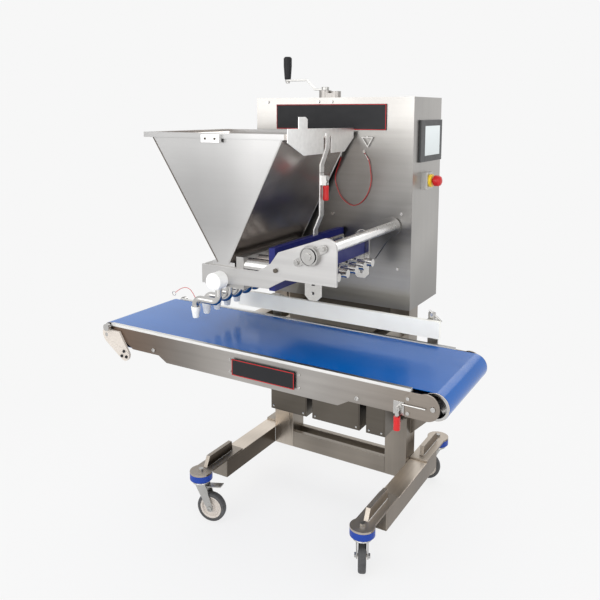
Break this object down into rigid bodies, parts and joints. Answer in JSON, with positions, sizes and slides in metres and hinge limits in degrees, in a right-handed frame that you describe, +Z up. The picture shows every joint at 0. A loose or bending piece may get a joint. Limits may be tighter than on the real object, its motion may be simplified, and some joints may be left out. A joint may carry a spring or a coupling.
{
  "type": "food depositor on a belt conveyor",
  "caption": "Wheeled belt conveyor with a crank-raised cabinet that holds a hopper-fed piston depositor with a row of nozzles over the belt.",
  "frame": {"origin": "on the floor, at the middle of the object's footprint box", "axes": "+Z up, +X along the belt to the drive drum, +Y from the belt to the lift cabinet"},
  "size_m": [1.4814, 1.0706, 1.9466],
  "materials": {
    "stainless": "brushed stainless sheet",
    "machined_steel": "machined stainless",
    "zinc_steel": "pressed zinc-plated steel",
    "wheel_rubber": "grey rubber",
    "white_plastic": "smooth white plastic",
    "cream_plastic": "smooth off-white plastic",
    "drum_steel": "turned steel drum",
    "belt_blue": "smooth blue belt",
    "blue_plastic": "blue plastic",
    "deep_blue_plastic": "machined dark blue plastic",
    "black_plastic": "black plastic",
    "red_plastic": "red plastic",
    "yellow_plastic": "yellow plastic",
    "red_cord": "red coated wire cord",
    "valve_metal": "machined light metal block"
  },
  "bodies": {
    "stand": {"base_frame": "stainless", "mast_posts": "stainless", "mast_head": "machined_steel", "caster_brackets": "stainless", "bumper_rings": "blue_plastic", "conveyor_panels": "stainless", "end_plates": "stainless", "tail_links": "cream_plastic", "conveyor_fittings": "stainless", "wear_strips": "white_plastic", "slider_bed": "stainless", "belt": "belt_blue", "control_boxes": "stainless", "rail_brackets": "machined_steel", "panel_plate": "black_plastic"},
    "drive_drum": {"drive_drum": "drum_steel"},
    "tail_drum": {"tail_drum": "drum_steel"},
    "latch_handle": {"latch_handle": "red_plastic"},
    "guide_rail": {"guide_rail": "white_plastic"},
    "rail_knob": {"rail_knob": "machined_steel"},
    "fork_fl": {"fork_fl": "zinc_steel"},
    "wheel_fl": {"wheel_fl": "wheel_rubber"},
    "pedal_fl": {"pedal_fl": "zinc_steel"},
    "fork_fr": {"fork_fr": "zinc_steel"},
    "wheel_fr": {"wheel_fr": "wheel_rubber"},
    "pedal_fr": {"pedal_fr": "zinc_steel"},
    "fork_rr": {"fork_rr": "zinc_steel"},
    "wheel_rr": {"wheel_rr": "wheel_rubber"},
    "fork_rl": {"fork_rl": "zinc_steel"},
    "wheel_rl": {"wheel_rl": "wheel_rubber"},
    "depositor": {"cabinet_panels": "stainless", "cabinet_door": "stainless", "guide_pads": "white_plastic", "cabinet_plate": "black_plastic", "screen_housing": "black_plastic", "stop_box": "yellow_plastic", "crank_bracket": "stainless", "cabinet_fittings": "stainless", "lanyard": "red_cord", "side_plates": "stainless", "tie_bars": "white_plastic", "flange_bearing": "stainless", "cylinder_plate": "deep_blue_plastic", "product_cylinders": "stainless", "air_cylinders": "stainless", "valve_body": "valve_metal", "spouts": "stainless", "nozzle_tips": "white_plastic", "strap_lower": "stainless"},
    "crank": {"crank": "machined_steel"},
    "crank_grip": {"crank_grip": "black_plastic"},
    "stop_button": {"stop_button": "red_plastic"},
    "piston_drive": {"drive_plate": "deep_blue_plastic", "pistons": "stainless"},
    "rocker": {"rocker": "machined_steel"},
    "valve_spool": {"valve_spool": "white_plastic"},
    "hopper": {"hopper_shell": "stainless", "guard_plate": "stainless"},
    "strap_handle": {"strap_handle": "red_plastic"}
  },
  "joints": [
    {"name": "lift", "type": "slide", "parent": "stand", "child": "depositor", "axis": [0, 0, 1], "range_m": [-0.03, 0.12]},
    {"name": "swivel_fl", "type": "hinge", "parent": "stand", "child": "fork_fl", "pos_m": [-0.375, -0.32325, 0.19], "axis": [0, 0, 1], "continuous": true},
    {"name": "roll_fl", "type": "hinge", "parent": "fork_fl", "child": "wheel_fl", "pos_m": [-0.32805, -0.31327, 0.0625], "axis": [-0.2079, 0.9781, 0], "continuous": true},
    {"name": "brake_fl", "type": "hinge", "parent": "fork_fl", "child": "pedal_fl", "pos_m": [-0.34957, -0.31784, 0.1507], "axis": [-0.2079, 0.9781, 0], "range_deg": [0, 10]},
    {"name": "swivel_fr", "type": "hinge", "parent": "stand", "child": "fork_fr", "pos_m": [0.375, -0.32325, 0.19], "axis": [0, 0, 1], "continuous": true},
    {"name": "roll_fr", "type": "hinge", "parent": "fork_fr", "child": "wheel_fr", "pos_m": [0.35548, -0.2794, 0.0625], "axis": [-0.9135, -0.4067, 0], "continuous": true},
    {"name": "brake_fr", "type": "hinge", "parent": "fork_fr", "child": "pedal_fr", "pos_m": [0.36442, -0.2995, 0.1507], "axis": [-0.9135, -0.4067, 0], "range_deg": [0, 10]},
    {"name": "swivel_rr", "type": "hinge", "parent": "stand", "child": "fork_rr", "pos_m": [0.375, 0.48775, 0.19], "axis": [0, 0, 1], "continuous": true},
    {"name": "roll_rr", "type": "hinge", "parent": "fork_rr", "child": "wheel_rr", "pos_m": [0.32736, 0.4819, 0.0625], "axis": [0.1219, -0.9925, 0], "continuous": true},
    {"name": "swivel_rl", "type": "hinge", "parent": "stand", "child": "fork_rl", "pos_m": [-0.375, 0.48775, 0.19], "axis": [0, 0, 1], "continuous": true},
    {"name": "roll_rl", "type": "hinge", "parent": "fork_rl", "child": "wheel_rl", "pos_m": [-0.42253, 0.49443, 0.0625], "axis": [-0.1392, -0.9903, 0], "continuous": true},
    {"name": "drive_drum_turn", "type": "hinge", "parent": "stand", "child": "drive_drum", "pos_m": [0.695, -0.28725, 0.8082], "axis": [0, 1, 0], "continuous": true},
    {"name": "tail_drum_turn", "type": "hinge", "parent": "stand", "child": "tail_drum", "pos_m": [-0.695, -0.28725, 0.8082], "axis": [0, 1, 0], "continuous": true},
    {"name": "latch_swing", "type": "hinge", "parent": "stand", "child": "latch_handle", "pos_m": [0.582, -0.52455, 0.788], "axis": [0, 1, 0], "range_deg": [0, 100]},
    {"name": "guide_rail_slide", "type": "slide", "parent": "stand", "child": "guide_rail", "axis": [0, 1, 0], "range_m": [-0.04, 0]},
    {"name": "rail_knob_turn", "type": "hinge", "parent": "stand", "child": "rail_knob", "pos_m": [0.51, -0.02225, 0.95], "axis": [0, 0, 1], "range_deg": [-30, 180]},
    {"name": "crank_turn", "type": "hinge", "parent": "depositor", "child": "crank", "pos_m": [-0.05, 0.15275, 1.8], "axis": [0, 0, 1], "range_deg": [-560, 2180]},
    {"name": "crank_grip_spin", "type": "hinge", "parent": "crank", "child": "crank_grip", "pos_m": [-0.237, 0.15275, 1.9], "axis": [0, 0, 1], "continuous": true},
    {"name": "stop_press", "type": "slide", "parent": "depositor", "child": "stop_button", "axis": [-1, 0, 0], "range_m": [0, 0.005], "stiffness_N_per_m": 1500},
    {"name": "piston_stroke", "type": "slide", "parent": "depositor", "child": "piston_drive", "axis": [1, 0, 0], "range_m": [-0.04, 0.04]},
    {"name": "rocker_swing", "type": "hinge", "parent": "depositor", "child": "rocker", "pos_m": [0.229, -0.28725, 1.226], "axis": [0, 1, 0], "range_deg": [-24.5, 24.5]},
    {"name": "valve_turn", "type": "hinge", "parent": "depositor", "child": "valve_spool", "pos_m": [-0.156, -0.28725, 1.094], "axis": [0, 1, 0], "range_deg": [0, 90]},
    {"name": "hopper_lift_off", "type": "slide", "parent": "depositor", "child": "hopper", "axis": [0, 0, 1], "range_m": [0, 0.35]},
    {"name": "strap_toggle", "type": "hinge", "parent": "depositor", "child": "strap_handle", "pos_m": [0.113, -0.13725, 1.446], "axis": [0, -1, 0], "range_deg": [0, 110]}
  ],
  "couplings": [
    {"joint": "crank_turn", "follows": "lift", "rad_per_m": 314.16},
    {"joint": "tail_drum_turn", "follows": "drive_drum_turn", "ratio": 1},
    {"joint": "rocker_swing", "follows": "piston_stroke", "rad_per_m": -10.456}
  ]
}
